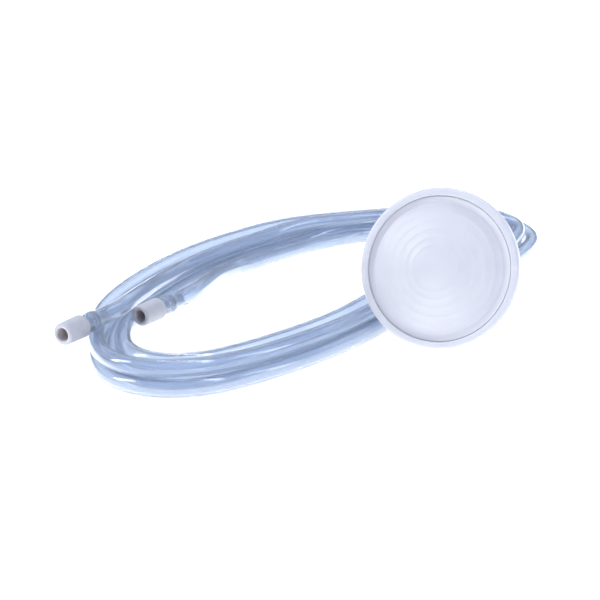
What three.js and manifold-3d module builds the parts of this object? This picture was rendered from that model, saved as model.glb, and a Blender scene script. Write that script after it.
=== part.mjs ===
// Twin-hose set with a round diaphragm cap, in millimetres, +Z up.
// The cap stands on its rim and faces -Y, leaning back; two clear hoses leave its back,
// run into one oval coil on the floor and end in tapered connectors.
import * as THREE from 'three';
import { mergeVertices } from 'three/addons/utils/BufferGeometryUtils.js';
import Module from 'manifold-3d';

const wasm = await Module();
wasm.setup();

// ---- driving dimensions ----
const gap = 0.3;                 // clearance between pieces that meet

const hose = { od: 9, bore: 6, sides: 10 };
const coil = {
  centre: [-94.5, 65.5],         // middle of the oval on the floor
  turn: 72.3,                    // degrees from +X to the oval's long axis
  // the outermost strand's path on the right, far, left and near sides of the oval
  outline: [[211, 2], [195, 43], [135, 74], [58, 92], [-32, 85], [-120, 48],
    [-169, -9], [-152, -54], [-73, -70], [20, -62], [111, -49], [184, -36]],
  height: 15.3,                  // two nested layers of hose
  steps: 8,                      // wall steps between two outline points
};
// where the coil's walls stand, as [outline place, outside, inside] measured from the outline
const coilWalls = [[1.2, 4.5, 27], [2.6, 4.5, 29], [3.52, 4.5, 29], [3.54, 4.5, 15.5],
  [4.7, 4.5, 15.5], [5, 4.5, 12], [5.5, 4.5, 12], [5.8, 4.5, 15.5], [7.95, 4.5, 15.5],
  [8.2, -0.2, 15.5], [8.6, -0.2, 15.5], [8.9, 4.5, 15.5], [9.98, 4.5, 15.5],
  [10, 13.5, 15.5], [11.4, 13.5, 18], [13.2, 4.5, 27]];

const cap = {
  radius: 42, lean: 17.5, rimHeight: 40.9, rimX: -6.3, rimY: 15.6,
  ringBack: -3.2, ringFront: 2.6, ringLip: 37.6, ringWall: 39.4,
  shellRadius: 39.1, shellWall: 1.6, dishRadius: 33.5, dishDepth: 12, hubRadius: 9, hubDepth: 21,
  socket: 5.6, segments: 48,
};
const membrane = {
  bead: 37.3, beadInner: 35.2, thickness: 1.2, height: 10, coneFoot: 34.2, crown: 8.5,
};
const port = {
  spigot: 5.1, spigotLength: 9, seal: 1.25, block: [11.5, 25, 8], spread: 13, stem: 3.1,
  barb: 3.75, tail: 15, lumen: 2.0,
};
const connector = {
  length: 15, mouth: 5.55, rear: 5.85, bore: 3.6, stemFit: 3.7, stemDepth: 6.5,
  stemRadius: 3.4, stemBore: 1.9, barbRadius: 3.9, stemLength: 17.4, barbAt: 6.2,
};
const hoseEnd = { neck: 4.6, bulge: 5.2, length: 14, bore: 4.05 };
const pull = 0.4;                // rounding of small edges

const finish = {
  silicone: { color: 0xeeeef2, roughness: 0.45, metalness: 0 },
  clearCap: { color: 0xe2e4ea, roughness: 0.25, metalness: 0 },
  clearHose: { color: 0xc3d2ea, roughness: 0.12, metalness: 0 },
  stem: { color: 0xaebace, roughness: 0.3, metalness: 0 },
  white: { color: 0xdcdce2, roughness: 0.55, metalness: 0 },
  seal: { color: 0xd8d4cc, roughness: 0.7, metalness: 0 },
};

// ---- helpers ----
const rad = THREE.MathUtils.degToRad;

function signedVolume(geometry) {
  const p = geometry.attributes.position;
  const index = geometry.index ? geometry.index.array : [...Array(p.count).keys()];
  const a = new THREE.Vector3();
  const b = new THREE.Vector3();
  const c = new THREE.Vector3();
  let sum = 0;
  for (let i = 0; i < index.length; i += 3) {
    a.fromBufferAttribute(p, index[i]);
    b.fromBufferAttribute(p, index[i + 1]);
    c.fromBufferAttribute(p, index[i + 2]);
    sum += a.dot(b.cross(c)) / 6;
  }
  return sum;
}

function welded(geometry) {
  const plain = geometry.clone();
  plain.deleteAttribute('normal');
  plain.deleteAttribute('uv');
  const merged = mergeVertices(plain, 1e-4);
  // drop the flat triangles that a lathe makes on its axis
  const kept = [];
  const index = merged.index.array;
  for (let i = 0; i < index.length; i += 3) {
    const [a, b, c] = [index[i], index[i + 1], index[i + 2]];
    if (a !== b && b !== c && c !== a) kept.push(a, b, c);
  }
  merged.setIndex(kept);
  if (signedVolume(merged) < 0) {
    for (let i = 0; i < kept.length; i += 3) [kept[i], kept[i + 1]] = [kept[i + 1], kept[i]];
    merged.setIndex(kept);
  }
  return merged;
}

function solid(geometry) {
  const mesh = welded(geometry);
  return new wasm.Manifold(new wasm.Mesh({
    numProp: 3,
    vertProperties: Float32Array.from(mesh.attributes.position.array),
    triVerts: Uint32Array.from(mesh.index.array),
  }));
}

function fromSolid(manifold) {
  const mesh = manifold.getMesh();
  const geometry = new THREE.BufferGeometry();
  geometry.setAttribute('position', new THREE.BufferAttribute(mesh.vertProperties, 3));
  geometry.setIndex(new THREE.BufferAttribute(mesh.triVerts, 1));
  return geometry;
}

// a closed [radius, height] loop turned about Y
function turned(loop, segments = cap.segments) {
  const points = [...loop, loop[0]].map(([r, h]) => new THREE.Vector2(r, h));
  return new THREE.LatheGeometry(points, segments);
}

function rod(radius, from, to, segments = 24) {
  const length = to - from;
  return new THREE.CylinderGeometry(radius, radius, length, segments)
    .translate(0, (from + to) / 2, 0);
}

// a tube's solid along a smooth curve, with flat ends
function along(points, radius, step = 20) {
  const curve = new THREE.CatmullRomCurve3(points.map((p) => new THREE.Vector3(...p)));
  const section = new THREE.Shape();
  for (let i = 0; i < hose.sides; i += 1) {
    const angle = (2 * Math.PI * (i + 0.5)) / hose.sides;
    const x = radius * Math.cos(angle);
    const y = radius * Math.sin(angle);
    if (i === 0) section.moveTo(x, y);
    else section.lineTo(x, y);
  }
  section.closePath();
  const steps = Math.max(4, Math.round(curve.getLength() / step));
  return new THREE.ExtrudeGeometry(section, { steps, extrudePath: curve, bevelEnabled: false });
}

const group = new THREE.Group();

function add(name, geometry, look, parent = group) {
  const mesh = new THREE.Mesh(welded(geometry), new THREE.MeshStandardMaterial(finish[look]));
  mesh.name = name;
  parent.add(mesh);
  return mesh;
}

// ---- the oval coil ----
// A place on the outline is a number: 2.5 is half way from point 2 to point 3.
const outlineCurve = new THREE.CatmullRomCurve3(
  coil.outline.map(([u, v]) => new THREE.Vector3(u, v, 0)), true, 'catmullrom', 0.5);

function coilPoint(place, inward, z) {
  const count = coil.outline.length;
  const t = (((place % count) + count) % count) / count;
  const at = outlineCurve.getPoint(t);
  const ahead = outlineCurve.getPoint((t + 0.001) % 1).sub(outlineCurve.getPoint((t + 0.999) % 1));
  ahead.normalize();
  const u = at.x - ahead.y * inward;
  const v = at.y + ahead.x * inward;
  const turn = rad(coil.turn);
  return [
    coil.centre[0] + u * Math.cos(turn) - v * Math.sin(turn),
    coil.centre[1] + u * Math.sin(turn) + v * Math.cos(turn),
    z,
  ];
}

function wallAt(place) {
  const count = coil.outline.length;
  const p = place < coilWalls[0][0] ? place + count : place;
  const next = coilWalls.findIndex((wall) => wall[0] >= p);
  const [p1, out1, in1] = coilWalls[next];
  if (next === 0) return [out1, in1];
  const [p0, out0, in0] = coilWalls[next - 1];
  const f = (p - p0) / (p1 - p0);
  return [out0 + f * (out1 - out0), in0 + f * (in1 - in0)];
}

function coilSolid() {
  const count = coil.outline.length;
  const outer = [];
  const inner = [];
  const places = coilWalls.map((wall) => wall[0] % count);
  for (let i = 0; i < count * coil.steps; i += 1) {
    const place = i / coil.steps;
    if (!places.includes(place)) places.push(place);
  }
  for (const place of places.sort((a, b) => a - b)) {
    const [out, inn] = wallAt(place);
    outer.push(new THREE.Vector2(...coilPoint(place, -out, 0)));
    inner.push(new THREE.Vector2(...coilPoint(place, inn, 0)));
  }
  const shape = new THREE.Shape(outer);
  shape.holes.push(new THREE.Path(inner.reverse()));
  return new THREE.ExtrudeGeometry(shape, { depth: coil.height, bevelEnabled: false });
}

add('hose_coil', coilSolid(), 'clearHose');

// ---- the cap, built on its own axis: +Y is forwards, -Z is up ----
const capGroup = new THREE.Group();
capGroup.position.set(cap.rimX, cap.rimY, cap.rimHeight);
capGroup.rotation.x = Math.PI - rad(cap.lean);
group.add(capGroup);
capGroup.updateMatrixWorld(true);

function clampRing() {
  const r = cap.radius;
  return turned([
    [cap.ringLip, 0.9], [cap.ringLip + pull, cap.ringFront], [r - 1.2, cap.ringFront],
    [r - 0.3, cap.ringFront - 0.8], [r, cap.ringFront - 2], [r, cap.ringBack + pull],
    [r - pull, cap.ringBack], [cap.ringWall, cap.ringBack], [cap.ringWall, 0.9],
  ]);
}
add('clamp_ring', clampRing(), 'clearCap', capGroup);

// front surface of the membrane: a shallow cone with a rounded crown
function membraneFront(r) {
  const { coneFoot, height, crown } = membrane;
  const soft = crown / 40;
  const top = Math.sqrt(1 + soft);
  return (height * (top - Math.hypot(r / coneFoot, Math.sqrt(soft)))) / (top - Math.sqrt(soft));
}

function membraneLoop() {
  const { coneFoot, bead, beadInner, thickness } = membrane;
  const steps = 10;
  const front = [];
  const back = [];
  for (let i = 0; i <= steps; i += 1) {
    const r = (coneFoot * i) / steps;
    front.push([r, membraneFront(r) + 0.2]);
    back.push([r, membraneFront(r) + 0.2 - thickness]);
  }
  return [...front, [beadInner, 0.2], [beadInner + 0.3, 0.6], [bead, 0.6], [bead, -1.3],
    [beadInner, -1.3], [beadInner, -0.9], ...back.reverse()];
}

function membraneSolid() {
  const points = membraneLoop().map(([r, h]) => new THREE.Vector2(r, h));
  return new THREE.LatheGeometry(points, cap.segments);
}
add('membrane', membraneSolid(), 'silicone', capGroup);

function capShell() {
  const w = cap.shellWall;
  const seat = -1.3 - gap;
  const floor = -cap.dishDepth;
  const body = solid(turned([
    [cap.shellRadius, 0.6], [cap.shellRadius, cap.ringBack + gap],
    [cap.dishRadius + w, cap.ringBack + gap], [cap.hubRadius + 4, floor - w],
    [cap.hubRadius, floor - w - 1.2], [cap.hubRadius, -cap.hubDepth + pull],
    [cap.hubRadius - pull, -cap.hubDepth], [cap.socket, -cap.hubDepth],
    [cap.socket, floor - w - 1], [3, floor - w - 1], [3, floor],
    [cap.hubRadius + 3, floor], [cap.dishRadius, seat], [membrane.bead + gap, seat],
    [membrane.bead + gap, 0.6],
  ]));
  const rib = { count: 6, inner: 14, outer: 26, width: 1.2 };
  let shell = body;
  for (let i = 0; i < rib.count; i += 1) {
    const bar = new THREE.BoxGeometry(rib.outer - rib.inner, 4, rib.width);
    bar.translate((rib.outer + rib.inner) / 2, floor + 1.2, 0);
    bar.rotateY(rad(30 + (360 / rib.count) * i));
    const trimmed = solid(bar).intersect(solid(turned([[0, floor - 0.8], [cap.hubRadius + 4, floor - 0.8],
      [cap.dishRadius + 0.8, seat], [0, floor + 3.2]])));
    shell = shell.add(trimmed);
  }
  return fromSolid(shell);
}
add('cap_shell', capShell(), 'clearCap', capGroup);

// ---- twin port: plugs into the hub, two barbed tails one above the other ----
const plugFront = -cap.dishDepth - cap.shellWall - 1 - gap;
const blockFront = -cap.hubDepth - gap;
const blockBack = blockFront - port.block[2];
const tailOffsets = [-port.spread / 2, port.spread / 2];

function barbedTail(offset) {
  const end = blockBack - port.tail;
  const loop = [[0, blockBack + 1], [port.stem, blockBack + 1], [port.stem, blockBack - 6],
    [port.barb, blockBack - 6.2], [port.barb, blockBack - 6.8], [port.stem, blockBack - 9.5],
    [port.stem, blockBack - 11], [port.barb - 0.2, blockBack - 11.2],
    [port.barb - 0.2, blockBack - 11.6], [port.stem - 0.6, end], [0, end]];
  return solid(turned(loop, 20)).translate([0, 0, offset]);
}

function twinPort() {
  const [width, tall, deep] = port.block;
  const outline = new THREE.Shape();
  const r = width / 2;
  const s = tall / 2 - r;
  outline.absarc(0, s, r, 0, Math.PI);
  outline.absarc(0, -s, r, Math.PI, 2 * Math.PI);
  const block = new THREE.ExtrudeGeometry(outline, {
    depth: deep, bevelEnabled: false, curveSegments: 10,
  }).rotateX(-Math.PI / 2).translate(0, blockBack, 0);
  const groove = port.seal * 2;
  const mid = (plugFront + blockFront) / 2;
  const plug = turned([[0, plugFront], [port.spigot - pull, plugFront],
    [port.spigot, plugFront - pull], [port.spigot, mid + groove / 2],
    [port.spigot - 1, mid + groove / 2], [port.spigot - 1, mid - groove / 2],
    [port.spigot, mid - groove / 2], [port.spigot, blockFront - 1], [0, blockFront - 1]], 32);
  let body = solid(block).add(solid(plug));
  for (const offset of tailOffsets) body = body.add(barbedTail(offset));
  body = body.subtract(solid(rod(2.4, blockBack + 2.4, plugFront + 1, 16)));
  const gallery = rod(port.lumen, tailOffsets[0], tailOffsets[1], 12).rotateX(Math.PI / 2);
  body = body.subtract(solid(gallery).translate([0, blockBack + deep / 2, 0]));
  for (const offset of tailOffsets) {
    const lumen = solid(rod(port.lumen, blockBack - port.tail - 1, blockBack + deep / 2, 12));
    body = body.subtract(lumen.translate([0, 0, offset]));
  }
  return fromSolid(body);
}
add('twin_port', twinPort(), 'stem', capGroup);

function portSeal() {
  const mid = (plugFront + blockFront) / 2;
  const inner = port.spigot - 1 + 0.05;
  const outer = cap.socket - 0.05;
  return turned([[inner, mid - 0.6], [inner + 0.3, mid - 0.9], [outer - 0.3, mid - 0.9],
    [outer, mid - 0.6], [outer, mid + 0.6], [outer - 0.3, mid + 0.9],
    [inner + 0.3, mid + 0.9], [inner, mid + 0.6]], 32);
}
add('port_seal', portSeal(), 'seal', capGroup);

// ---- hose ends stretched over the port's barbs ----
function portHoseEnd() {
  const start = blockBack - gap;
  const { neck, bulge, bore } = hoseEnd;
  return turned([[bore, start], [neck, start], [neck, start - 3], [bulge, start - 6],
    [bulge, start - 8], [hose.od / 2, start - 13], [hose.od / 2, start - port.tail - 2],
    [bore - 0.3, start - port.tail - 2]], 20);
}
const leadStarts = [];
for (const [name, offset] of [['hose_a', tailOffsets[0]], ['hose_b', tailOffsets[1]]]) {
  const end = add(`${name}_port_end`, portHoseEnd(), 'clearHose', capGroup);
  end.position.z = offset;
  const back = blockBack - gap - port.tail - 2 - gap;
  const from = capGroup.localToWorld(new THREE.Vector3(0, back, offset));
  const on = capGroup.localToWorld(new THREE.Vector3(0, back - 12, offset));
  leadStarts.push([from.toArray(), on.toArray()]);
}

// ---- loose stretches of hose: from the port into the coil, and from it to each connector ----
const leadRoutes = {
  hose_a_lead: [...leadStarts[0], coilPoint(9.6, -12, 18), coilPoint(9.85, -9.5, 14.1),
    coilPoint(9.97, -9.3, 13.9)],
  hose_b_lead: [...leadStarts[1], coilPoint(9.6, -12, 7), coilPoint(9.85, -9.5, 4.6),
    coilPoint(9.97, -9.3, 4.6)],
};
for (const [name, route] of Object.entries(leadRoutes)) {
  add(name, along(route, hose.od / 2), 'clearHose');
}

// mouth: middle of the open end; heading: degrees from +X to the way it points; rise: its tilt
const connectorPlaces = {
  a: { mouth: [-158.4, -103, 23.4], heading: -96.9, rise: 0 },
  b: { mouth: [-145.6, -51.1, 18], heading: -101.5, rise: -1 },
};
const tailRoutes = {};

function coneSolid() {
  const { length, mouth, rear, bore, stemFit, stemDepth } = connector;
  return turned([[bore, -pull], [bore + pull, 0], [mouth - pull, 0], [mouth, -pull],
    [rear, -length + 0.6], [rear - 0.6, -length], [stemFit, -length],
    [stemFit, -length + stemDepth], [bore, -length + stemDepth]], 28);
}

function stemSolid() {
  const { length, stemDepth, stemRadius, stemBore, barbRadius, stemLength, barbAt } = connector;
  const front = -length + stemDepth - gap;
  const rearFace = -length - gap;
  const barb = rearFace - barbAt;
  const end = rearFace - stemLength + gap;
  return turned([[stemBore, front], [stemRadius - pull, front], [stemRadius, front - pull],
    [stemRadius, barb], [barbRadius, barb - 0.2], [barbRadius, barb - 1],
    [stemRadius - 0.3, barb - 3.2], [stemRadius - 0.3, end + pull],
    [stemRadius - 0.7, end], [stemBore, end]], 24);
}

function hoseEndSolid() {
  const { neck, bulge, bore, length } = hoseEnd;
  const front = -connector.length - gap;
  return turned([[bore, front], [neck, front], [neck, front - 2], [bulge, front - 6.5],
    [bulge, front - 9], [hose.od / 2 + 0.1, front - 12], [hose.od / 2, front - length],
    [hose.od / 2, front - connector.stemLength - 1.5], [bore - 0.3, front - connector.stemLength - 1.5]],
  24);
}

for (const [name, place] of Object.entries(connectorPlaces)) {
  const holder = new THREE.Group();
  holder.position.set(...place.mouth);
  // local +Y points out of the mouth
  holder.rotation.set(rad(place.rise), 0, rad(place.heading) - Math.PI / 2, 'ZYX');
  group.add(holder);
  holder.updateMatrixWorld(true);
  add(`cone_${name}`, coneSolid(), 'white', holder);
  add(`stem_${name}`, stemSolid(), 'stem', holder);
  add(`hose_${name}_end`, hoseEndSolid(), 'clearHose', holder);
  const back = -connector.length - 2 * gap - connector.stemLength - 1.5;
  tailRoutes[name] = [0, -7].map((more) => (
    holder.localToWorld(new THREE.Vector3(0, back + more, 0)).toArray()));
}

const tails = {
  hose_a_tail: [...tailRoutes.a, [-155.4, -45, 23], [-158.9, -33.5, 21.7], [-161.5, -22, 20.7],
    [-163.8, -9, 20.3], [-165.8, 4, 20.2]],
  hose_b_tail: [...tailRoutes.b, [-140, 8.5, 17.3], [-144.5, 27, 15.2], [-149.4, 46, 12.2],
    [-153.2, 67, 9], [-155.2, 88, 6.3], [-155.2, 94.5, 5.6]],
};
for (const [name, route] of Object.entries(tails)) {
  add(name, along(route, hose.od / 2), 'clearHose');
}

// the origin is the middle, on the floor, of the cap and the two connectors
group.position.set(64.08, 20.14, 0);

export default group;
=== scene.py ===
import math

import bmesh
import bpy
import numpy as np
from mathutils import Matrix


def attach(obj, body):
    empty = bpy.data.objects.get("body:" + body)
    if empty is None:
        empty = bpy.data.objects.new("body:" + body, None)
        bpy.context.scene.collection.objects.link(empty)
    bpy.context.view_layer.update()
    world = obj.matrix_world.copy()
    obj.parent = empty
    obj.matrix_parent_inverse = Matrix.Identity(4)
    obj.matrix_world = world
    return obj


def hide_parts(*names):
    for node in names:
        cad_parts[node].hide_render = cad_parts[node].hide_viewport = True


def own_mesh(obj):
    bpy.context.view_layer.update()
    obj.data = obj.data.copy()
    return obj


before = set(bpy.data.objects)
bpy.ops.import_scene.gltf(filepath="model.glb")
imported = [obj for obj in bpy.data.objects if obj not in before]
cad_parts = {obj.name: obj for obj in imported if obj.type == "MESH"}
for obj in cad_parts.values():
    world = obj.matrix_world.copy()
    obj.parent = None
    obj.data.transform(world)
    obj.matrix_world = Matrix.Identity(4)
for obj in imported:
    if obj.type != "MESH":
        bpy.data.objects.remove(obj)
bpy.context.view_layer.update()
scene = bpy.context.scene
mm = 0.001                                   # every measure below is in millimetres until it goes into a mesh
rampEnds = (0.3, 0.7)                        # the part of a noise that the colours and finishes spread over


# ---- camera ----
cameraSet = {"place": (0.21668, -0.5404, 0.219), "tilt": 71.8, "turn": 22.3, "lens": 72.0, "sensor": 36.0}
cameraData = bpy.data.cameras.new("studioCamera")
cameraData.lens, cameraData.sensor_width = cameraSet["lens"], cameraSet["sensor"]
cameraData.clip_start, cameraData.clip_end = 0.01, 30.0
cameraObject = bpy.data.objects.new("studioCamera", cameraData)
cameraObject.location = cameraSet["place"]
cameraObject.rotation_euler = (math.radians(cameraSet["tilt"]), 0.0, math.radians(cameraSet["turn"]))
scene.collection.objects.link(cameraObject)
scene.camera = cameraObject
print("camera set")


# ---- mesh helpers ----
def eased(value, stops):
    # between two stops (place, amount) the amount follows a smooth step: t squared times (3 - 2 t)
    places, amounts = (np.array(column, float) for column in zip(*stops))
    index = np.clip(np.searchsorted(places, value, side="right") - 1, 0, len(places) - 2)
    share = np.clip((value - places[index]) / (places[index + 1] - places[index]), 0.0, 1.0)
    return amounts[index] + (amounts[index + 1] - amounts[index]) * share * share * (3.0 - 2.0 * share)


def gridFaces(rows, columns, closeRows=True, closeColumns=True):
    # quads between neighbouring rows and columns of a grid of points, wrapped round where it closes
    row = np.arange(rows if closeRows else rows - 1)[:, None]
    column = np.arange(columns if closeColumns else columns - 1)[None, :]
    nextRow, nextColumn = (row + 1) % rows, (column + 1) % columns
    corners = [row * columns + column, nextRow * columns + column,
               nextRow * columns + nextColumn, row * columns + nextColumn]
    return np.stack(np.broadcast_arrays(*corners), axis=-1).reshape(-1, 4)


def meshFrom(name, points, faces, weld=0.0, layMap=None):
    # points in millimetres and quads become one smooth mesh; weld closes poles, and normals turn outwards
    mesh = bpy.data.meshes.new(name)
    mesh.vertices.add(len(points))
    mesh.vertices.foreach_set("co", np.ascontiguousarray(points * mm, dtype=np.float32).ravel())
    mesh.loops.add(faces.size)
    mesh.loops.foreach_set("vertex_index", faces.ravel().astype(np.int32))
    mesh.polygons.add(len(faces))
    mesh.polygons.foreach_set("loop_start", np.arange(0, faces.size, faces.shape[1], dtype=np.int32))
    mesh.update(calc_edges=True)
    if layMap is not None:
        layer = mesh.uv_layers.new(name="lay")
        layer.data.foreach_set("uv", np.ascontiguousarray(layMap, dtype=np.float32).ravel())
    work = bmesh.new()
    work.from_mesh(mesh)
    if weld:
        bmesh.ops.remove_doubles(work, verts=work.verts, dist=weld * mm)
        bmesh.ops.dissolve_degenerate(work, edges=work.edges, dist=weld * mm)
    bmesh.ops.recalc_face_normals(work, faces=work.faces)
    work.to_mesh(mesh)
    work.free()
    mesh.polygons.foreach_set("use_smooth", np.ones(len(mesh.polygons), dtype=bool))
    mesh.update()
    return mesh


def addPiece(name, mesh, body, slotName, material, *nodes):
    piece = bpy.data.objects.new(name, mesh)
    scene.collection.objects.link(piece)
    mesh.materials.clear()
    mesh.materials.append(material)
    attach(piece, body)
    if nodes:
        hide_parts(*nodes)
    return piece


def rounded(profile, radius, share=0.42):
    # each corner of a closed profile becomes a short curve: (1-t)^2 start + 2t(1-t) corner + t^2 end,
    # with one more point on each side so that the flats keep flat normals
    corner = np.array(profile, float)
    before, after = np.roll(corner, 1, axis=0) - corner, np.roll(corner, -1, axis=0) - corner
    lengthBefore, lengthAfter = np.linalg.norm(before, axis=1), np.linalg.norm(after, axis=1)
    cut = np.minimum(radius, share * np.minimum(lengthBefore, lengthAfter))[:, None]
    start, end = corner + before / lengthBefore[:, None] * cut, corner + after / lengthAfter[:, None] * cut
    beyond, curvePoints = 1.14, 6
    flatStart = corner + before / lengthBefore[:, None] * cut * beyond
    flatEnd = corner + after / lengthAfter[:, None] * cut * beyond
    t = np.linspace(0.0, 1.0, curvePoints)[None, :, None]
    curve = (1 - t) ** 2 * start[:, None] + 2 * t * (1 - t) * corner[:, None] + t ** 2 * end[:, None]
    return np.concatenate([flatStart[:, None], curve, flatEnd[:, None]], axis=1).reshape(-1, 2)


def turned(profile, holder, segments):
    # a closed profile (radius, height) turned round the holder's own axis
    origin, forward, side, upward = holder
    profile = np.asarray(profile, float)
    angle = np.arange(segments) * 2.0 * math.pi / segments
    spoke = np.cos(angle)[:, None] * side + np.sin(angle)[:, None] * upward
    points = origin + profile[:, None, 1:2] * forward + profile[:, None, 0:1] * spoke[None]
    return points.reshape(-1, 3), gridFaces(len(profile), segments)


def turnedMesh(name, values, holder):
    # a turned piece from its dictionary of values
    points, faces = turned(rounded(values["profile"], values["soften"]), holder, values["segments"])
    return meshFrom(name, points, faces)


def joined(*parts):
    # several (points, faces) lists as one
    offsets = np.cumsum([0] + [len(points) for points, _ in parts[:-1]])
    return (np.concatenate([points for points, _ in parts]),
            np.concatenate([faces + offset for (_, faces), offset in zip(parts, offsets)]))


# ---- material helpers ----
def newMaterial(name):
    material = bpy.data.materials.new(name)
    material.use_nodes = True
    material.node_tree.nodes.clear()
    return material, material.node_tree.nodes, material.node_tree.links


def shaderWith(nodes, links, **values):
    shader = nodes.new("ShaderNodeBsdfPrincipled")
    output = nodes.new("ShaderNodeOutputMaterial")
    links.new(shader.outputs["BSDF"], output.inputs["Surface"])
    for label, value in values.items():
        shader.inputs[label.replace("_", " ")].default_value = value
    return shader


def mottled(nodes, links, shader, low, high, scale, bump, bumpScale, roughLow, roughHigh):
    # base colour and roughness drift between two values with soft noise; a finer noise gives a little relief
    place = nodes.new("ShaderNodeTexCoord")
    drift = nodes.new("ShaderNodeTexNoise")
    drift.inputs["Scale"].default_value, drift.inputs["Detail"].default_value = scale, 3.0
    links.new(place.outputs["Object"], drift.inputs["Vector"])
    ramp = nodes.new("ShaderNodeValToRGB")
    ramp.color_ramp.elements[0].position, ramp.color_ramp.elements[1].position = rampEnds
    ramp.color_ramp.elements[0].color, ramp.color_ramp.elements[1].color = (*low, 1.0), (*high, 1.0)
    links.new(drift.outputs["Fac"], ramp.inputs["Fac"])
    links.new(ramp.outputs["Color"], shader.inputs["Base Color"])
    sheen = nodes.new("ShaderNodeMapRange")
    sheen.inputs["From Min"].default_value, sheen.inputs["From Max"].default_value = rampEnds
    sheen.inputs["To Min"].default_value, sheen.inputs["To Max"].default_value = roughLow, roughHigh
    links.new(drift.outputs["Fac"], sheen.inputs["Value"])
    links.new(sheen.outputs["Result"], shader.inputs["Roughness"])
    grain = nodes.new("ShaderNodeTexNoise")
    grain.inputs["Scale"].default_value, grain.inputs["Detail"].default_value = bumpScale, 2.0
    links.new(place.outputs["Object"], grain.inputs["Vector"])
    relief = nodes.new("ShaderNodeBump")
    relief.inputs["Strength"].default_value, relief.inputs["Distance"].default_value = bump, 0.0002
    links.new(grain.outputs["Fac"], relief.inputs["Height"])
    links.new(relief.outputs["Normal"], shader.inputs["Normal"])


# ---- finishes ----
hoseLook = {"tint": (0.86, 0.915, 0.995), "deep": (0.77, 0.86, 0.99), "clear": 0.85, "ior": 1.40,
            "rough": (0.05, 0.09), "lines": 26.0, "alongScale": 3.0, "relief": 0.12}


def hoseVinyl():
    # clear soft vinyl: drawn out lengthwise, so its faint lines run along the hose
    # (own map: share of the way round, metres along)
    material, nodes, links = newMaterial("hoseVinyl")
    shader = shaderWith(nodes, links, Transmission_Weight=hoseLook["clear"], IOR=hoseLook["ior"],
                        Coat_Weight=0.5, Coat_Roughness=0.04)
    lay = nodes.new("ShaderNodeUVMap")
    lay.uv_map = "lay"
    stretch = nodes.new("ShaderNodeMapping")
    stretch.inputs["Scale"].default_value = (hoseLook["lines"], hoseLook["alongScale"], 1.0)
    links.new(lay.outputs["UV"], stretch.inputs["Vector"])
    lines = nodes.new("ShaderNodeTexNoise")
    lines.inputs["Scale"].default_value, lines.inputs["Detail"].default_value = 1.0, 2.0
    links.new(stretch.outputs["Vector"], lines.inputs["Vector"])
    ramp = nodes.new("ShaderNodeValToRGB")
    ramp.color_ramp.elements[0].position, ramp.color_ramp.elements[1].position = rampEnds
    ramp.color_ramp.elements[0].color = (*hoseLook["deep"], 1.0)
    ramp.color_ramp.elements[1].color = (*hoseLook["tint"], 1.0)
    links.new(lines.outputs["Fac"], ramp.inputs["Fac"])
    links.new(ramp.outputs["Color"], shader.inputs["Base Color"])
    gloss = nodes.new("ShaderNodeMapRange")
    gloss.inputs["To Min"].default_value, gloss.inputs["To Max"].default_value = hoseLook["rough"]
    links.new(lines.outputs["Fac"], gloss.inputs["Value"])
    links.new(gloss.outputs["Result"], shader.inputs["Roughness"])
    relief = nodes.new("ShaderNodeBump")
    relief.inputs["Strength"].default_value = hoseLook["relief"]
    relief.inputs["Distance"].default_value = 0.0003
    links.new(lines.outputs["Fac"], relief.inputs["Height"])
    links.new(relief.outputs["Normal"], shader.inputs["Normal"])
    return material


def plainResin(name, low, high, scale, bump, bumpScale, rough, **values):
    material, nodes, links = newMaterial(name)
    shader = shaderWith(nodes, links, **values)
    mottled(nodes, links, shader, low, high, scale, bump, bumpScale, *rough)
    return material


hoseMaterial = hoseVinyl()
evenly = (1.0, 1.0, 1.0)                      # light scatters equally far in each colour
coneMaterial = plainResin("coneResin", (0.56, 0.56, 0.59), (0.61, 0.61, 0.64), 260.0, 0.25, 2600.0,
                          (0.42, 0.55), Subsurface_Weight=0.25, Subsurface_Scale=0.002,
                          Subsurface_Radius=evenly)
boreMaterial = plainResin("boreResin", (0.60, 0.54, 0.54), (0.68, 0.62, 0.62), 320.0, 0.25, 2600.0,
                          (0.5, 0.6))
stemMaterial = plainResin("stemResin", (0.66, 0.71, 0.82), (0.72, 0.77, 0.87), 180.0, 0.1, 1500.0,
                          (0.22, 0.32), Transmission_Weight=0.2, IOR=1.45)
membraneMaterial = plainResin("milkySilicone", (0.735, 0.73, 0.775), (0.77, 0.765, 0.805), 90.0, 0.12,
                              1400.0, (0.34, 0.42), Subsurface_Weight=0.35, Subsurface_Scale=0.003,
                              Subsurface_Radius=evenly, IOR=1.41)
ringMaterial = plainResin("ringPlastic", (0.72, 0.72, 0.765), (0.76, 0.76, 0.80), 120.0, 0.08, 1800.0,
                          (0.2, 0.28), Subsurface_Weight=0.3, Subsurface_Scale=0.003,
                          Subsurface_Radius=evenly, IOR=1.45)
shellMaterial = plainResin("shellPlastic", (0.80, 0.82, 0.86), (0.86, 0.87, 0.90), 100.0, 0.08, 1800.0,
                           (0.18, 0.28), Transmission_Weight=0.45, IOR=1.45)
sealMaterial = plainResin("sealSilicone", (0.70, 0.66, 0.60), (0.76, 0.72, 0.66), 300.0, 0.2, 2400.0,
                          (0.45, 0.6))
print("finishes made")


# ---- holders: where the cap and the two connectors sit, and which way they point ----
def holderAt(origin, forward):
    forward = np.array(forward, float) / np.linalg.norm(forward)
    level = np.array([forward[1], -forward[0], 0.0])
    side = level / np.linalg.norm(level)
    return np.array(origin, float), forward, side, np.cross(side, forward)


def headed(heading, rise):
    # unit vector from a compass-like heading in the floor plane and a rise above it, both in degrees
    heading, rise = math.radians(heading), math.radians(rise)
    return np.array([math.cos(rise) * math.cos(heading), math.cos(rise) * math.sin(heading), math.sin(rise)])


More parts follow.
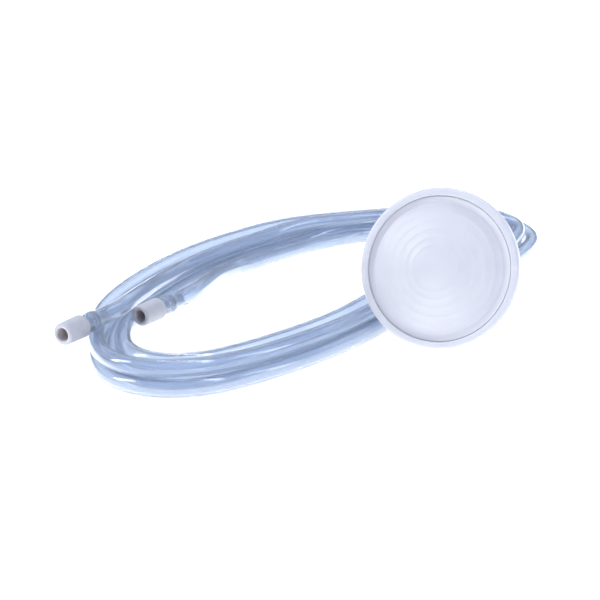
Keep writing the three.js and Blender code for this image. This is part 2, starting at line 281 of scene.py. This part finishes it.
capSet = {"centre": (57.78, 35.74, 40.9), "lean": 17.5}
lean = math.radians(capSet["lean"])
capFront = np.array([0.0, -math.cos(lean), math.sin(lean)])
capDown = np.array([0.0, -math.sin(lean), -math.cos(lean)])
capAcross = np.array([1.0, 0.0, 0.0])
capHolder = (np.array(capSet["centre"]), capFront, capAcross, capDown)


def inCap(across, forward, down=0.0):
    return capHolder[0] + across * capAcross + forward * capFront + down * capDown


connectorSet = {"a": {"mouth": (-94.32, -82.86, 23.4), "heading": -96.9, "rise": 0.0},
                "b": {"mouth": (-81.52, -30.96, 18.0), "heading": -101.5, "rise": -1.0}}
connectorHolder = {key: holderAt(value["mouth"], headed(value["heading"], value["rise"]))
                   for key, value in connectorSet.items()}


# ---- hose routes ----
hoseSet = {
    "sides": 32, "step": 2.5, "fineStep": 0.7, "endReach": 21.0, "lip": 0.16, "proud": 0.8, "endPoints": 10,
    "touch": 8.98, "floorHeight": 4.55,                      # between centres of two that touch; on the floor
    "portEnd": -29.6, "portStraight": -46.9, "spread": 6.5,  # along the cap's axis behind the port block
    "connectorEnd": -15.3, "connectorStraight": -34.5,       # behind the connector's mouth
}
woundSet = {
    "centre": (-30.42, 85.64), "turn": 72.3,
    "outline": [(211, 2), (195, 43), (135, 74), (58, 92), (-32, 85), (-120, 48),
                (-169, -9), (-152, -54), (-73, -70), (20, -62), (111, -49), (184, -36)],
    "base": 8.0, "places": 12, "turns": 3, "perPlace": 40, "every": 10, "edge": 1e-9,
    "order": ["b0", "b1", "b2", "a1", "a0", "a2"],           # which pass lies under which
    "bridgeLane": 34.0, "bridged": (33, 38.2),               # where hose B leaves the winding for a while
}
laneSet = {   # start lane (inwards from the outline) and its changes: from place, to place, step
    "b": (-9.2, [(10.2, 11.5, 9.2), (11.3, 11.9, 2.6), (12.1, 12.8, -2.6), (22.2, 23.5, 12.1),
                 (25.6, 26.6, -3.0), (32.6, 33.7, 18.1)]),
    "a": (-4.7, [(10.2, 11.5, 21.2), (13.6, 14.9, -16.5), (18.1, 19.2, 4.5), (21.2, 22.3, 13.7),
                 (22.6, 23.6, 3.0), (25.6, 26.6, -3.0), (28.8, 29.7, -5.0), (29.9, 30.7, 0.4),
                 (34.2, 35.4, 12.0), (38.0, 39.2, -12.0), (38.8, 39.6, -1.0)]),
}
spanSet = {"b": [(9.95, 33.7), (38.2, 39.45)], "a": [(9.95, 40.1)]}
bridgeSet = {"b": [(110, -24), (130, -12), (140, 8), (133, 31)], "a": []}
settleSet = {"b": 14, "a": 10}                               # samples over which a hump is spread
leadSet = {"a": [(57.78, 82.42, 33.0), (57.78, 93.87, 29.39), (57.4, 108.1, 23)],
           "b": [(57.78, 78.51, 20.6), (57.78, 89.96, 16.99), (56.6, 105.1, 12)]}
tailSet = {
    "a": [(-105.9, 46, 15.0), (-103.9, 31.6, 16.4), (-100.0, 13.3, 18.6), (-96.2, -2, 20.6),
          (-93.8, -14, 21.8), (-91.3, -24.9, 22.8), (-89.2, -40.5, 23.4), (-90.18, -48.61, 23.4)],
    "b": [(-90.5, 108.1, 5.6), (-89.1, 87.1, 8.4), (-85.3, 66.1, 12.2), (-80.4, 47.1, 15.2),
          (-75.9, 28.6, 17.3), (-73.2, 10.6, 18.7), (-74.64, 2.84, 18.6)],
}


def onFloor(u, v):
    # the winding's own long and short axes laid on the floor: a turn and a shift
    turn = math.radians(woundSet["turn"])
    return np.stack([woundSet["centre"][0] + u * math.cos(turn) - v * math.sin(turn),
                     woundSet["centre"][1] + u * math.sin(turn) + v * math.cos(turn)], axis=-1)


def hermite(t, p1, p2, m1, m2):
    # cubic between two points that leaves and arrives along the two tangents
    return (2 * t**3 - 3 * t**2 + 1) * p1 + (t**3 - 2 * t**2 + t) * m1 \
        + (-2 * t**3 + 3 * t**2) * p2 + (t**3 - t**2) * m2


def outlineAt(place):
    # closed cubic through the outline's points, each tangent half the step between its neighbours;
    # the point and the inward normal there
    outline = np.array(woundSet["outline"], float)
    count = len(outline)
    wrapped = np.mod(place, count)
    index = np.floor(wrapped).astype(int)
    t = (wrapped - index)[:, None]
    p0, p1, p2, p3 = (outline[(index + k) % count] for k in (-1, 0, 1, 2))
    m1, m2 = 0.5 * (p2 - p0), 0.5 * (p3 - p1)
    point = hermite(t, p1, p2, m1, m2)
    along = (6 * t**2 - 6 * t) * p1 + (3 * t**2 - 4 * t + 1) * m1 \
        + (-6 * t**2 + 6 * t) * p2 + (3 * t**2 - 2 * t) * m2
    along /= np.linalg.norm(along, axis=1, keepdims=True)
    return point, np.stack([-along[:, 1], along[:, 0]], axis=-1)


def laneAt(place, start, changes):
    lane = np.full(len(place), float(start))
    for first, last, change in changes:
        share = np.clip((place - first) / (last - first), 0.0, 1.0)
        lane += change * share * share * (3.0 - 2.0 * share)
    return lane


def settled(height, reach):
    # the highest value within reach on either side, then a raised-cosine average over the same reach
    padded = np.pad(height, 2 * reach, mode="edge")
    highest = np.max(np.stack([np.roll(padded, k) for k in range(-reach, reach + 1)]), axis=0)
    weights = np.hanning(2 * reach + 3)[1:-1]
    return np.convolve(highest, weights / weights.sum(), "same")[2 * reach:-2 * reach]


def woundRuns():
    # each pass round the outline lies on the floor or on the passes laid before it: where two lanes are
    # closer than one hose, the upper centre is the lower one plus the root of (touch squared less gap squared)
    places, edge = woundSet["places"], woundSet["edge"]
    count = places * woundSet["perPlace"]
    place = woundSet["base"] + np.arange(count) / woundSet["perPlace"]
    lanes, heights = {}, {}
    for key in laneSet:
        for turn in range(woundSet["turns"]):
            here = place + places * turn
            lane = laneAt(here, *laneSet[key])
            used = np.zeros(count, bool)
            for first, last in spanSet[key]:
                used |= (here >= first - edge) & (here <= last + edge)
            lanes[f"{key}{turn}"] = np.where(used, lane, np.nan)
    later = place + 2 * places
    bridgeFrom, bridgeTo = woundSet["bridged"]
    bridging = np.isnan(lanes["b2"]) & (later > bridgeFrom) & (later < bridgeTo)
    lanes["b2"][bridging] = woundSet["bridgeLane"]
    touch = hoseSet["touch"]
    for key in woundSet["order"]:
        height = np.where(np.isnan(lanes[key]), np.nan, hoseSet["floorHeight"])
        for under, low in heights.items():
            gap = np.abs(lanes[key] - lanes[under])
            lifted = np.where(gap < touch, low + np.sqrt(np.maximum(0.0, touch**2 - gap**2)), 0.0)
            height = np.fmax(height, np.where(np.isnan(lifted), 0.0, lifted) + 0.0 * height)
        present = ~np.isnan(height)
        height[present] = settled(height[present], settleSet[key[0]])
        heights[key] = height
    lanes["b2"][bridging] = np.nan
    runs = {}
    for key in laneSet:
        turns = range(woundSet["turns"])
        here = np.concatenate([place + places * turn for turn in turns])
        lane = np.concatenate([lanes[f"{key}{turn}"] for turn in turns])
        height = np.concatenate([heights[f"{key}{turn}"] for turn in turns])
        runs[key] = []
        for first, last in spanSet[key]:
            inside = (here >= first - edge) & (here <= last + edge) & ~np.isnan(lane)
            point, inward = outlineAt(here[inside])
            centre = point + inward * lane[inside][:, None]
            run = np.column_stack([onFloor(centre[:, 0], centre[:, 1]), height[inside]])
            keep = np.unique(np.r_[np.arange(0, len(run), woundSet["every"]), len(run) - 1])
            runs[key].append(run[keep])
    return runs


def curveThrough(points, steps=12):
    # cubic through the points, each span timed by the square root of its length, which avoids loops
    points = np.asarray(points, float)
    wide = np.vstack([2 * points[0] - points[1], points, 2 * points[-1] - points[-2]])
    p0, p1, p2, p3 = (wide[k:len(wide) - 3 + k, None] for k in range(4))
    d1, d2, d3 = (np.sqrt(np.linalg.norm(b - a, axis=-1, keepdims=True))
                  for a, b in ((p0, p1), (p1, p2), (p2, p3)))
    m1 = ((p1 - p0) / d1 - (p2 - p0) / (d1 + d2) + (p2 - p1) / d2) * d2
    m2 = ((p2 - p1) / d2 - (p3 - p1) / (d2 + d3) + (p3 - p2) / d3) * d2
    t = np.linspace(0.0, 1.0, steps, endpoint=False)[None, :, None]
    line = hermite(t, p1, p2, m1, m2)
    return np.vstack([line.reshape(-1, 3), points[-1:]])


def alongAt(line, stations=None, step=2.0):
    # points at given distances along a line of many short spans, or at even steps; and the whole length
    length = np.r_[0.0, np.cumsum(np.linalg.norm(np.diff(line, axis=0), axis=1))]
    if stations is None:
        stations = np.linspace(0.0, length[-1], int(length[-1] / step) + 1)
    return np.stack([np.interp(stations, length, line[:, k]) for k in range(3)], axis=-1), length[-1]


def relaxed(line, reach=6):
    # raised-cosine average along the line; each end is mirrored through its last point, so the ends stay put
    head = 2 * line[0] - line[reach:0:-1]
    foot = 2 * line[-1] - line[-2:-reach - 2:-1]
    padded = np.vstack([head, line, foot])
    weights = np.hanning(2 * reach + 3)[1:-1]
    weights /= weights.sum()
    return np.stack([np.convolve(padded[:, k], weights, "same")[reach:-reach] for k in range(3)], axis=-1)


def hoseLine(key, runs):
    # straight off the port's tail, down to the floor, round the winding, and out to its connector
    stack = [np.array(leadSet[key], float)]
    for index, run in enumerate(runs[key]):
        stack.append(run)
        if index == 0 and bridgeSet[key]:
            bridge = np.array(bridgeSet[key], float)
            stack.append(np.column_stack([onFloor(bridge[:, 0], bridge[:, 1]),
                                          np.full(len(bridge), hoseSet["floorHeight"])]))
    stack.append(np.array(tailSet[key], float))
    line = relaxed(alongAt(curveThrough(np.vstack(stack)))[0])
    line[:, 2] = np.maximum(line[:, 2], hoseSet["floorHeight"])
    down = -hoseSet["spread"] if key == "a" else hoseSet["spread"]
    portRun = np.linspace(hoseSet["portEnd"], hoseSet["portStraight"], hoseSet["endPoints"])[:-1]
    head = inCap(0.0, portRun[:, None], down)
    mouth, forward = connectorHolder[key][:2]
    connectorRun = np.linspace(hoseSet["connectorStraight"], hoseSet["connectorEnd"],
                               hoseSet["endPoints"])[1:]
    foot = mouth + connectorRun[:, None] * forward
    return np.vstack([head, line, foot])


# outer and bore radius by distance from the port end and the connector end; the hose swells over each barb
portFlare = {"outer": [(0, 4.58), (5.4, 4.95), (8.4, 4.95), (13.2, 4.5), (14, 4.5)],
             "bore": [(0, 3.2), (5.4, 3.3), (6.4, 3.85), (7.3, 3.85), (10.5, 3.2), (11.4, 3.65), (12.2, 3.65),
                      (16.0, 3.0), (17, 3.0)]}
connectorFlare = {"outer": [(0, 4.6), (2.2, 4.62), (6.2, 5.2), (8.4, 5.2), (12.2, 4.55), (14.0, 4.5),
                            (15, 4.5)],
                  "bore": [(0, 3.48), (5.5, 3.5), (6.2, 3.96), (7.2, 3.96), (9.6, 3.2), (16.9, 3.15),
                           (19.5, 3.0), (20, 3.0)]}


def hoseMesh(name, line):
    # a ring profile (outer wall, then back along the bore, a small lip at each end) carried along the route
    total = alongAt(line)[1]
    reach = hoseSet["endReach"]
    fine = np.arange(0.0, reach, hoseSet["fineStep"])
    middle = np.linspace(reach, total - reach, int((total - 2 * reach) / hoseSet["step"]))
    station = np.concatenate([fine, middle, total - fine[::-1]])
    centre = alongAt(line, station)[0]
    tangent = np.gradient(centre, axis=0)
    tangent /= np.linalg.norm(tangent, axis=1, keepdims=True)
    side = np.cross(tangent, [0.0, 0.0, 1.0])
    side /= np.linalg.norm(side, axis=1, keepdims=True)
    upward = np.cross(side, tangent)
    remaining = total - station
    nearPort = station < total / 2
    outer = np.where(nearPort, eased(station, portFlare["outer"]), eased(remaining, connectorFlare["outer"]))
    bore = np.where(nearPort, eased(station, portFlare["bore"]), eased(remaining, connectorFlare["bore"]))
    lip = hoseSet["lip"]
    outerIndex = np.arange(len(station))
    order = np.concatenate([[0], outerIndex, [len(station) - 1], [len(station) - 1], outerIndex[::-1], [0]])
    radius = np.concatenate([[outer[0] - lip], outer, [outer[-1] - lip], [bore[-1] + lip], bore[::-1],
                             [bore[0] + lip]])
    shift = np.zeros(len(order))                           # the end faces stand a little proud of the lips
    shift[[0, -1]] = -lip * hoseSet["proud"]
    shift[[len(station) + 1, len(station) + 2]] = lip * hoseSet["proud"]
    ringCentre = centre[order] + shift[:, None] * tangent[order]
    angle = np.arange(hoseSet["sides"]) * 2.0 * math.pi / hoseSet["sides"]
    spoke = (np.cos(angle)[None, :, None] * side[order][:, None]
             + np.sin(angle)[None, :, None] * upward[order][:, None])
    points = ringCentre[:, None] + radius[:, None, None] * spoke
    faces = gridFaces(len(order), hoseSet["sides"])
    rowOf, columnOf = np.divmod(np.arange(len(faces)), hoseSet["sides"])
    roundShare = np.stack([columnOf, columnOf, columnOf + 1, columnOf + 1], axis=-1) / hoseSet["sides"]
    alongRow = station[order] * mm
    nextRow = (rowOf + 1) % len(order)
    along = np.stack([alongRow[rowOf], alongRow[nextRow], alongRow[nextRow], alongRow[rowOf]], axis=-1)
    layMap = np.stack([roundShare, along], axis=-1).reshape(-1, 2)
    return meshFrom(name, points.reshape(-1, 3), faces, layMap=layMap), centre, total


runs = woundRuns()
hoseNodes = {"a": ("hose_a_lead", "hose_a_tail", "hose_a_end", "hose_a_port_end"),
             "b": ("hose_b_lead", "hose_b_tail", "hose_b_end", "hose_b_port_end", "hose_coil")}
for key in ("a", "b"):
    hoseShape, hoseCentre, hoseLength = hoseMesh(f"hose_{key}", hoseLine(key, runs))
    addPiece(f"hose_{key}", hoseShape, "hose_set", "hose", hoseMaterial, *hoseNodes[key])
    print(f"hose {key}: {hoseLength:.0f} mm")


# ---- connectors: a tapered cone on each barbed stem ----
coneSet = {"profile": [(3.3, -8.5), (3.3, -0.5), (3.75, 0.0), (4.9, 0.0), (5.55, -0.8), (5.85, -14.4),
                       (5.25, -15.0), (3.7, -15.0), (3.7, -8.5)], "soften": 0.5, "segments": 72,
           "boreWithin": 3.5, "boreBehind": -0.5}
stemSet = {"profile": [(1.9, -8.8), (3.0, -8.8), (3.4, -9.2), (3.4, -21.4), (3.9, -21.7), (3.9, -22.5),
                       (3.1, -24.7), (3.1, -32.0), (2.7, -32.4), (1.9, -32.4)], "soften": 0.2, "segments": 56}
stemPieces, conePieces = {}, {}
for key, holder in connectorHolder.items():
    coneShape = turnedMesh(f"cone_{key}_skin", coneSet, holder)
    conePieces[key] = addPiece(f"cone_{key}_skin", coneShape, "hose_set", "connector", coneMaterial,
                               f"cone_{key}")
    coneShape.materials.append(boreMaterial)
    faceCentre = np.empty(len(coneShape.polygons) * 3, dtype=np.float32)
    coneShape.polygons.foreach_get("center", faceCentre)
    offset = faceCentre.reshape(-1, 3) / mm - holder[0]
    depth = offset @ holder[1]
    fromAxis = np.linalg.norm(offset - depth[:, None] * holder[1], axis=1)
    inBore = (fromAxis < coneSet["boreWithin"]) & (depth < coneSet["boreBehind"])      # the darker inside
    coneShape.polygons.foreach_set("material_index", inBore.astype(np.int32))
    stemShape = turnedMesh(f"stem_{key}_skin", stemSet, holder)
    stemPieces[key] = addPiece(f"stem_{key}_skin", stemShape, "hose_set", "stem", stemMaterial, f"stem_{key}")
print("connectors made")


# ---- cap: ring, membrane, shell, port and its seal ----
ringSet = {"profile": [(37.6, 0.9), (38.0, 2.6), (40.8, 2.6), (41.7, 1.8), (42.0, 0.6), (42.0, -2.8),
                       (41.6, -3.2), (39.4, -3.2), (39.4, 0.9)], "soften": 0.4, "segments": 144}
ringShape = turnedMesh("clamp_ring_skin", ringSet, capHolder)
addPiece("clamp_ring_skin", ringShape, "ring", "cap", ringMaterial, "clamp_ring")

membraneSet = {"foot": 34.2, "height": 10.0, "crown": 8.5, "thickness": 1.2, "lift": 0.2, "segments": 144,
               "ridges": (33.6, 29.7, 25.3, 20.7, 16.2, 12.2), "ridgeHeight": 0.2, "ridgeWidth": 0.85,
               "keep": 0.4}


def membraneProfile():
    # a cone with a rounded crown: height times (top - root of (share squared + soft)) over (top - root of
    # soft), with soft = crown / 40 and top = root of (1 + soft); each ridge is a low bell curve
    soft = membraneSet["crown"] / 40.0
    top, tip = math.sqrt(1.0 + soft), math.sqrt(soft)
    radius = np.linspace(0.0, membraneSet["foot"], 170)
    cone = membraneSet["height"] * (top - np.hypot(radius / membraneSet["foot"], tip)) / (top - tip)
    ridge = np.zeros(len(radius))
    for middle in membraneSet["ridges"]:
        ridge += membraneSet["ridgeHeight"] * np.exp(-((radius - middle) / membraneSet["ridgeWidth"]) ** 2)
    front = np.column_stack([radius, cone + membraneSet["lift"] + ridge])
    back = np.column_stack([radius, cone + membraneSet["lift"] - membraneSet["thickness"]])
    bead = np.array([(35.2, 0.24), (36.2, 0.45), (37.0, 0.85), (37.45, 1.25), (37.5, 1.1), (37.5, 0.9),
                     (37.3, 0.6), (37.3, -1.3), (35.2, -1.3), (35.2, -0.9)])
    return np.vstack([front, bead, back[::-6], [[0.0, back[0, 1]]]])


membraneShape = meshFrom("membrane_skin", *turned(membraneProfile(), capHolder, membraneSet["segments"]),
                         weld=0.002)
membranePiece = addPiece("membrane_skin", membraneShape, "ring", "membrane", membraneMaterial, "membrane")

shellSet = {"profile": [(39.1, 0.6), (39.1, -2.9), (35.1, -2.9), (13.0, -13.6), (9.0, -14.8), (9.0, -20.6),
                        (8.6, -21.0), (5.6, -21.0), (5.6, -14.6), (3.0, -14.6), (3.0, -12.0), (12.0, -12.0),
                        (33.5, -1.6), (37.6, -1.6), (37.6, 0.6)], "soften": 0.5, "segments": 128,
            "ribs": 6, "ribInner": 14.0, "ribOuter": 26.0, "ribWide": 1.2, "ribFirst": 30.0, "ribTop": -8.8,
            "dish": ((12.0, -12.0), (33.5, -1.6)), "ribSunk": 0.6, "ribProud": 0.25}


def shellRib(angle):
    # a low fin standing on the dish, its foot sunk into the wall and its top level
    spoke = math.cos(angle) * capAcross - math.sin(angle) * capDown
    beside = np.cross(spoke, capFront)
    inner, outer, half = shellSet["ribInner"], shellSet["ribOuter"], shellSet["ribWide"] / 2
    (nearRadius, nearHeight), (farRadius, farHeight) = shellSet["dish"]
    slope = (farHeight - nearHeight) / (farRadius - nearRadius)
    innerWall = nearHeight + (inner - nearRadius) * slope
    outerWall = nearHeight + (outer - nearRadius) * slope
    top = shellSet["ribTop"]
    outline = [(inner, innerWall - shellSet["ribSunk"]), (outer, outerWall - shellSet["ribSunk"]),
               (outer, outerWall + shellSet["ribProud"]), (outer - 2.6, top), (inner + 0.6, top),
               (inner, top - 0.6)]
    outline = rounded(outline, 0.3)
    across = np.array([-half, -half * 0.8, half * 0.8, half])
    shrink = np.array([0.0, 1.0, 1.0, 0.0]) * 0.25
    middle = outline.mean(axis=0)
    loops = []
    for offset, grow in zip(across, shrink):
        swollen = middle + (outline - middle) * (1.0 + 0.02 * grow)
        loops.append(capHolder[0] + swollen[:, :1] * spoke + swollen[:, 1:] * capFront + offset * beside)
    ends = [np.broadcast_to(loop.mean(axis=0), loop.shape) for loop in (loops[0], loops[-1])]
    rings = np.stack([ends[0]] + loops + [ends[1]])
    return rings.reshape(-1, 3), gridFaces(len(rings), len(outline), closeRows=False)


shellParts = [turned(rounded(shellSet["profile"], shellSet["soften"]), capHolder, shellSet["segments"])]
for index in range(shellSet["ribs"]):
    shellParts.append(shellRib(math.radians(shellSet["ribFirst"] + 360.0 / shellSet["ribs"] * index)))
shellShape = meshFrom("cap_shell_skin", *joined(*shellParts), weld=0.002)
addPiece("cap_shell_skin", shellShape, "cap", "cap", shellMaterial, "cap_shell")

sealSet = {"middle": -18.1, "inner": 4.15, "outer": 5.55, "half": 0.9, "segments": 64}
sealBack, sealFront = sealSet["middle"] - sealSet["half"], sealSet["middle"] + sealSet["half"]
sealProfile = [(sealSet["inner"], sealBack), (sealSet["outer"], sealBack),
               (sealSet["outer"], sealFront), (sealSet["inner"], sealFront)]
sealShape = meshFrom("port_seal_skin", *turned(rounded(sealProfile, 0.55), capHolder, sealSet["segments"]))
addPiece("port_seal_skin", sealShape, "hose_set", "seal", sealMaterial, "port_seal")
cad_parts["twin_port"].material_slots[0].material = stemMaterial
print("cap made")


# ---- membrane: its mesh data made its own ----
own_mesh(membranePiece)


# ---- studio ----
studioSet = {"floorRadius": 9.0, "floorGlow": 0.8, "world": (0.66, 0.76, 1.0), "worldStrength": 0.85,
             "bands": [(0.0, 0.30), (0.22, 0.45), (0.30, 1.1), (0.42, 1.1), (0.5, 0.35), (0.75, 0.5),
                       (0.85, 1.0)]}


def addFloor():
    # one wide pale disc: rings of points at growing radii
    radius = np.array([0.0, 0.5, 1.0, 2.0, 4.0, studioSet["floorRadius"]]) / mm
    angle = np.arange(64) * 2.0 * math.pi / 64
    points = np.stack([radius[:, None] * np.cos(angle), radius[:, None] * np.sin(angle),
                       np.zeros((len(radius), len(angle)))], axis=-1).reshape(-1, 3)
    mesh = meshFrom("studioFloor", points, gridFaces(len(radius), len(angle), closeRows=False), weld=0.01)
    material, nodes, links = newMaterial("paperWhite")
    shader = shaderWith(nodes, links, Emission_Strength=studioSet["floorGlow"])
    shader.inputs["Emission Color"].default_value = (1.0, 1.0, 1.0, 1.0)
    mottled(nodes, links, shader, (0.90, 0.90, 0.90), (0.93, 0.93, 0.93), 3.0, 0.02, 400.0, 0.7, 0.8)
    shader.inputs["Specular IOR Level"].default_value = 0.2
    mesh.materials.append(material)
    floor = bpy.data.objects.new("studioFloor", mesh)
    scene.collection.objects.link(floor)


def addLight(name, place, target, size, power):
    lamp = bpy.data.lights.new(name, "AREA")
    lamp.shape, lamp.size, lamp.size_y = "RECTANGLE", size[0], size[1]
    lamp.energy = power
    holder = bpy.data.objects.new(name, lamp)
    holder.location = place
    back = np.array(place, float) - np.array(target, float)
    back /= np.linalg.norm(back)
    side = np.cross([0.0, 0.0, 1.0], back)
    side /= np.linalg.norm(side)
    upward = np.cross(back, side)
    turn = np.stack([side, upward, back], axis=1)
    holder.rotation_euler = (math.atan2(turn[2, 1], turn[2, 2]), -math.asin(turn[2, 0]),
                             math.atan2(turn[1, 0], turn[0, 0]))
    scene.collection.objects.link(holder)


addFloor()
addLight("softLeft", (-1.0, -0.5, 0.85), (0.0, 0.05, 0.02), (0.3, 0.9), 9.0)
addLight("softTop", (0.1, 0.3, 1.25), (0.0, 0.1, 0.0), (1.4, 0.14), 5.0)
addLight("softRight", (1.05, 0.25, 0.75), (0.05, 0.05, 0.03), (0.2, 0.8), 2.0)

world = bpy.data.worlds.new("studioAir")
scene.world = world
world.use_nodes = True
background = world.node_tree.nodes["Background"]
direction = world.node_tree.nodes.new("ShaderNodeTexCoord")
parts = world.node_tree.nodes.new("ShaderNodeSeparateXYZ")
bands = world.node_tree.nodes.new("ShaderNodeValToRGB")
world.node_tree.links.new(direction.outputs["Generated"], parts.inputs["Vector"])
world.node_tree.links.new(parts.outputs["Z"], bands.inputs["Fac"])
world.node_tree.links.new(bands.outputs["Color"], background.inputs["Color"])
for index, (height, grey) in enumerate(studioSet["bands"]):    # dark and light bands of the room by height
    stop = bands.color_ramp.elements[index] if index < 2 else bands.color_ramp.elements.new(height)
    stop.position, stop.color = height, (*(grey * part for part in studioSet["world"]), 1.0)
background.inputs["Strength"].default_value = studioSet["worldStrength"]
scene.view_settings.view_transform = "Standard"
scene.view_settings.look = "None"
scene.cycles.max_bounces = 28
scene.cycles.transmission_bounces = 24
scene.cycles.transparent_max_bounces = 24
scene.cycles.glossy_bounces = 6
scene.cycles.diffuse_bounces = 3
scene.cycles.caustics_reflective = False
scene.cycles.blur_glossy = 0.5
print("studio made")
